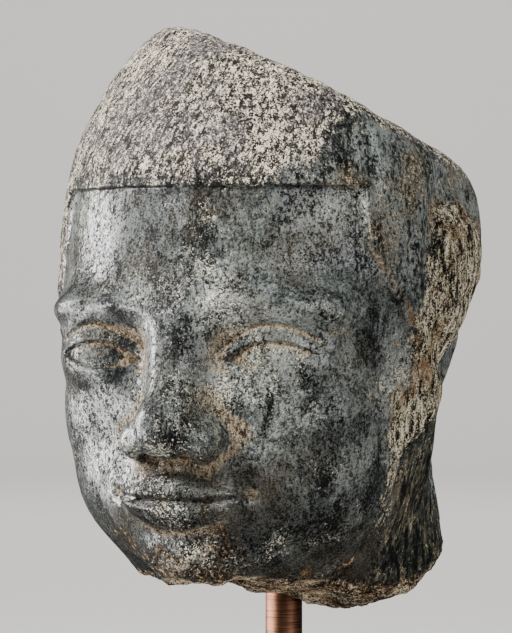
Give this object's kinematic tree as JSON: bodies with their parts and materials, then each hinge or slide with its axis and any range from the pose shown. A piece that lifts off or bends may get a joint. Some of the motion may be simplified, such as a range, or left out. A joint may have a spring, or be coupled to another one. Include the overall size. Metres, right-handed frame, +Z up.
{
  "type": "stone head sculpture",
  "caption": "Broken carved stone head with a short cap of hair, held up by a metal rod in a square foot.",
  "frame": {"origin": "middle of the foot's underside, below the rod's axis", "axes": "+Z up along the rod, the face looks along -Y, the figure's left is +X"},
  "size_m": [0.1468, 0.1581, 0.2946],
  "materials": {
    "stone": "worn, pecked hair over a polished face with earth deposits",
    "rod": "brushed, copper-brown patina",
    "foot": "black stain, satin"
  },
  "bodies": {
    "root": {"stone_head": "stone", "mount_rod": "rod", "mount_foot": "foot"}
  },
  "joints": []
}
